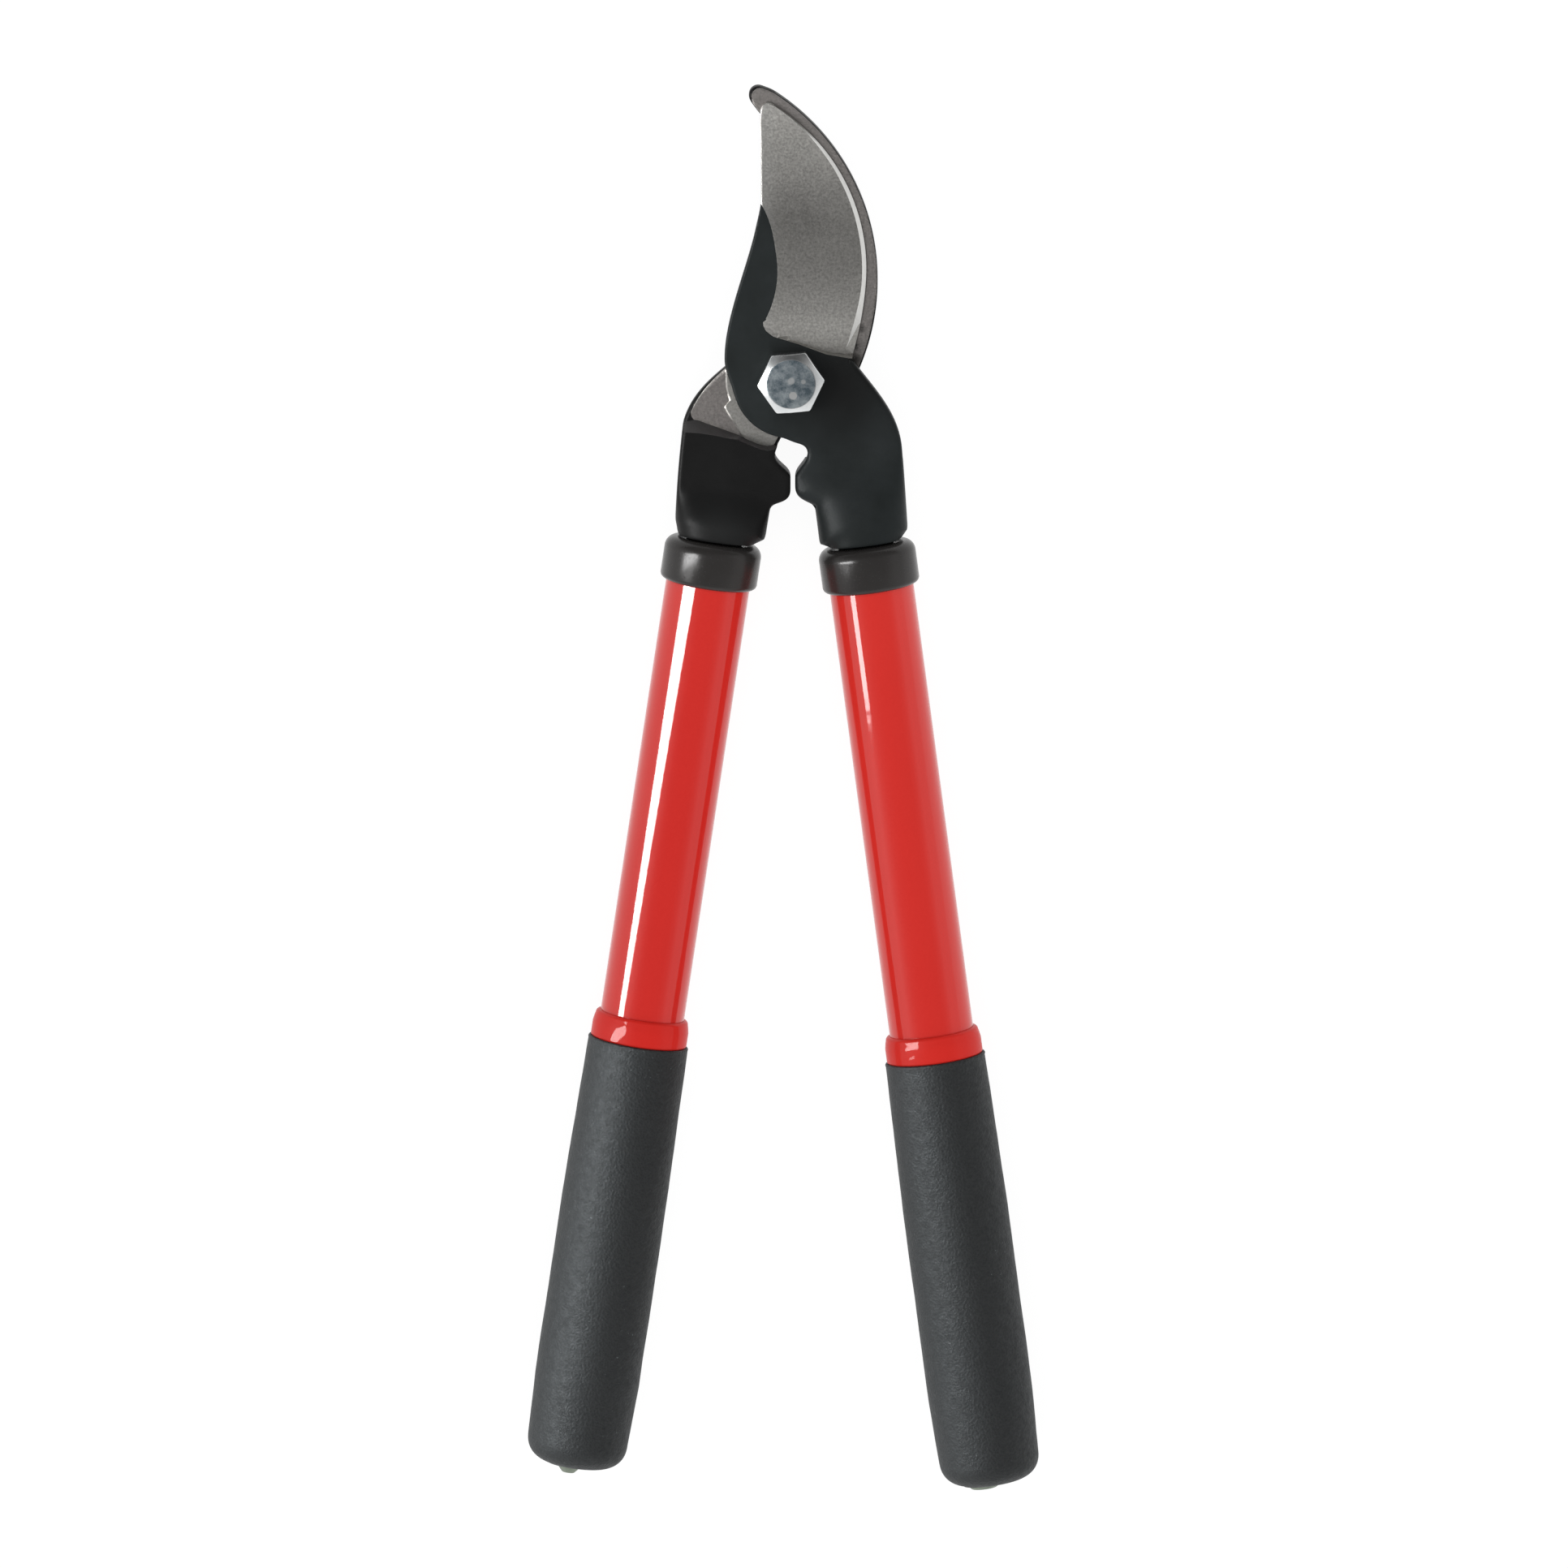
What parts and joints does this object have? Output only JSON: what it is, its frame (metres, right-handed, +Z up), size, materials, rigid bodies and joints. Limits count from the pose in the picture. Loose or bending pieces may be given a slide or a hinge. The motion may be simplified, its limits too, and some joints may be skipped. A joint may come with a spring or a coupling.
{
  "type": "bypass lopper",
  "caption": "Short two-handed bypass lopper: curved blade and hook on a pivot bolt, red tube handles with dark foam grips, lying flat.",
  "frame": {"origin": "on the pivot bolt's axis, in the plane the tool lies on, which is the bolt's flat lower end", "axes": "+Y from the pivot to the blade tip, +X to the side of the blade's handle, +Z up out of the surface, along the pivot axis to the bolt head"},
  "size_m": [0.1482, 0.4114, 0.0306],
  "materials": {
    "forged_steel": "black satin coating on forged steel, with ground flat faces",
    "blade_steel": "black satin coating with a ground bare steel face and a honed edge",
    "ferrule_plastic": "satin",
    "red_paint": "gloss",
    "red_plastic": "gloss",
    "grip_foam": "matt closed-cell foam",
    "plug_plastic": "matt",
    "pin_steel": "plain",
    "liner_nylon": "plain",
    "zinc_steel": "bright zinc plate",
    "insert_nylon": "plain"
  },
  "bodies": {
    "hook_half": {"hook_blade": "forged_steel", "hook_ferrule": "ferrule_plastic", "hook_tube": "red_paint", "hook_grip_ring": "red_plastic", "hook_grip": "grip_foam", "hook_end_plug": "plug_plastic", "hook_tang_pin": "pin_steel", "hook_tang_liner": "liner_nylon", "pivot_bolt": "zinc_steel", "nut_washer": "zinc_steel", "lock_nut": "zinc_steel", "nut_insert": "insert_nylon"},
    "blade_half": {"cutting_blade": "blade_steel", "blade_ferrule": "ferrule_plastic", "blade_tube": "red_paint", "blade_grip_ring": "red_plastic", "blade_grip": "grip_foam", "blade_end_plug": "plug_plastic", "blade_tang_pin": "pin_steel", "blade_tang_liner": "liner_nylon"}
  },
  "joints": [
    {"name": "pivot", "type": "hinge", "parent": "hook_half", "child": "blade_half", "pos_m": [0, 0, 0.0153], "axis": [0, 0, 1], "range_deg": [-1.7, 80]}
  ]
}
